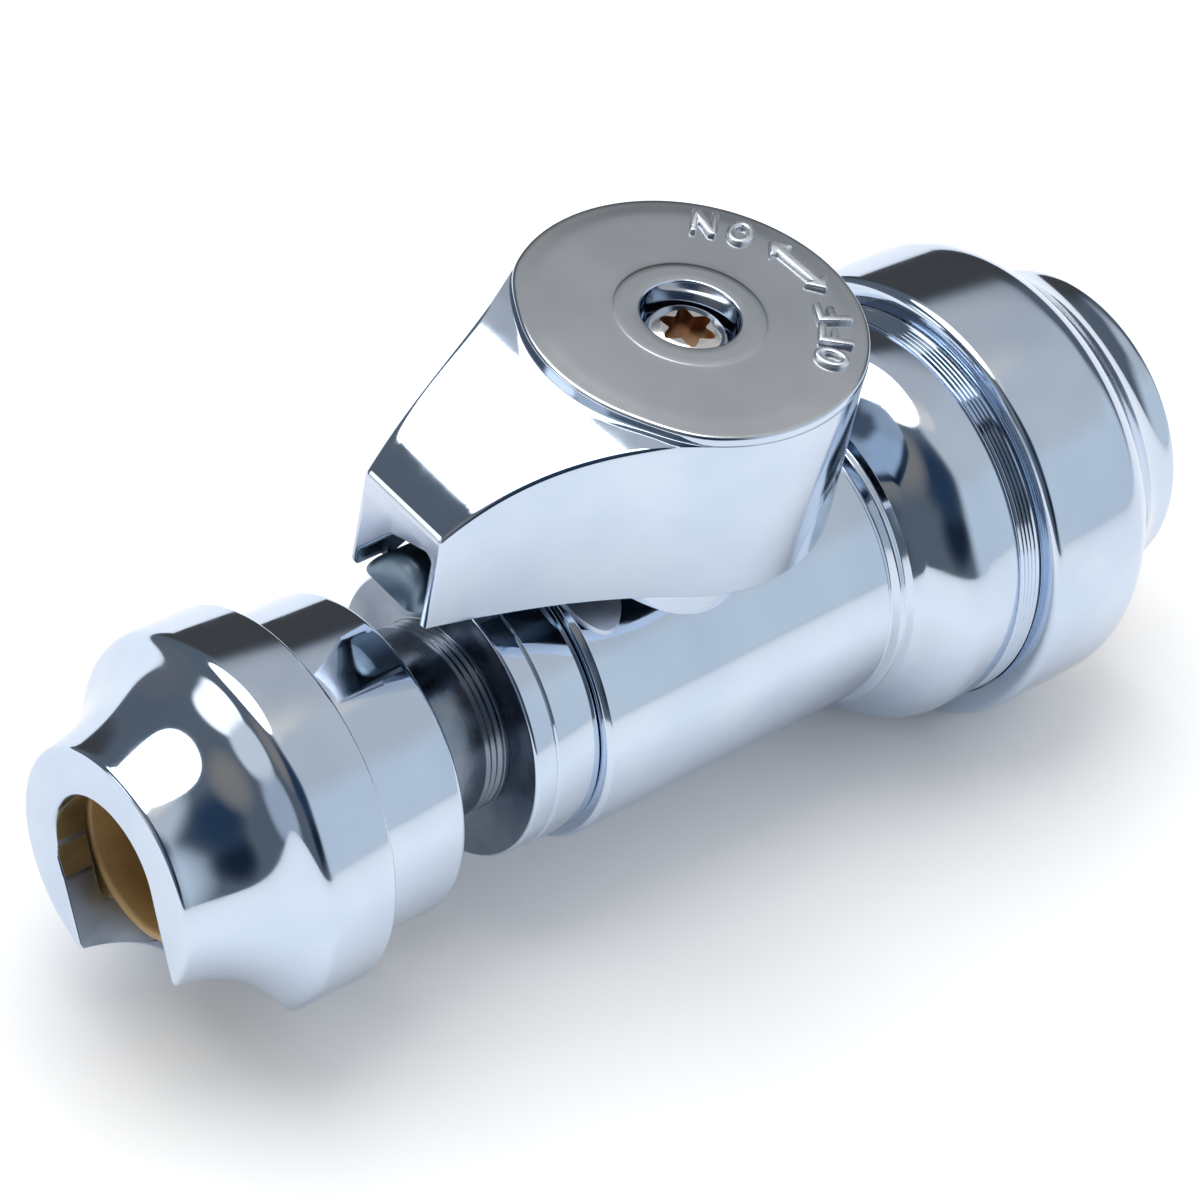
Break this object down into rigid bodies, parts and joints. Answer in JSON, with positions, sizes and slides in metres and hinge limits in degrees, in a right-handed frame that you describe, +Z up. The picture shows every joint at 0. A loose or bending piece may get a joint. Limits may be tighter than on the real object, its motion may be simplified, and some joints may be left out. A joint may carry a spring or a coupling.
{
  "type": "isolating valve",
  "caption": "Chromed straight isolating valve: a quarter-turn ball valve with a pointed lever cap, a small push-fit inlet and a larger push-fit outlet, each with a slotted release cover.",
  "frame": {"origin": "where the pipe axis and the spindle axis cross, at the ball's centre", "axes": "+X along the pipe from the small inlet to the large outlet, +Z up the spindle to the handle's disc, +Y completes the right hand"},
  "size_m": [0.0795, 0.0308, 0.0399],
  "materials": {
    "body": "polished chrome plate on brass",
    "inlet_connector": "polished chrome plate on brass",
    "ball": "polished chrome plate on brass",
    "ball_seat_inlet": "smooth white PTFE",
    "ball_seat_outlet": "smooth white PTFE",
    "spindle": "turned brass",
    "thrust_washer": "smooth white PTFE",
    "spindle_ring_lower": "black nitrile rubber",
    "spindle_ring_upper": "black nitrile rubber",
    "handle": "polished chrome plate on a die casting",
    "handle_screw": "bright steel",
    "inlet_seal_ring": "black rubber",
    "inlet_spacer": "natural moulded plastic",
    "inlet_grab_ring": "stainless spring steel",
    "inlet_retaining_cap": "polished chrome plate on brass",
    "inlet_release_collar": "glossy tan plastic",
    "inlet_release_cover": "polished chrome plate",
    "outlet_seal_ring": "black rubber",
    "outlet_spacer": "natural moulded plastic",
    "outlet_grab_ring": "stainless spring steel",
    "outlet_retaining_cap": "polished chrome plate on brass",
    "outlet_release_collar": "glossy tan plastic",
    "outlet_release_cover": "polished chrome plate"
  },
  "bodies": {
    "valve_body": {"body": "body", "inlet_connector": "inlet_connector", "ball_seat_inlet": "ball_seat_inlet", "ball_seat_outlet": "ball_seat_outlet", "thrust_washer": "thrust_washer", "inlet_seal_ring": "inlet_seal_ring", "inlet_spacer": "inlet_spacer", "inlet_grab_ring": "inlet_grab_ring", "inlet_retaining_cap": "inlet_retaining_cap", "outlet_seal_ring": "outlet_seal_ring", "outlet_spacer": "outlet_spacer", "outlet_grab_ring": "outlet_grab_ring", "outlet_retaining_cap": "outlet_retaining_cap"},
    "handle_group": {"handle": "handle", "handle_screw": "handle_screw", "spindle": "spindle", "spindle_ring_lower": "spindle_ring_lower", "spindle_ring_upper": "spindle_ring_upper", "ball": "ball"},
    "inlet_release": {"inlet_release_collar": "inlet_release_collar", "inlet_release_cover": "inlet_release_cover"},
    "outlet_release": {"outlet_release_collar": "outlet_release_collar", "outlet_release_cover": "outlet_release_cover"}
  },
  "joints": [
    {"name": "handle_turn", "type": "hinge", "parent": "valve_body", "child": "handle_group", "pos_m": [0, 0, 0], "axis": [0, 0, 1], "range_deg": [-90, 0]},
    {"name": "inlet_release_slide", "type": "slide", "parent": "valve_body", "child": "inlet_release", "axis": [1, 0, 0], "range_m": [0, 0.001], "stiffness_N_per_m": 4000, "springref_m": -0.0005},
    {"name": "outlet_release_slide", "type": "slide", "parent": "valve_body", "child": "outlet_release", "axis": [-1, 0, 0], "range_m": [0, 0.0012], "stiffness_N_per_m": 4000, "springref_m": -0.0005}
  ]
}
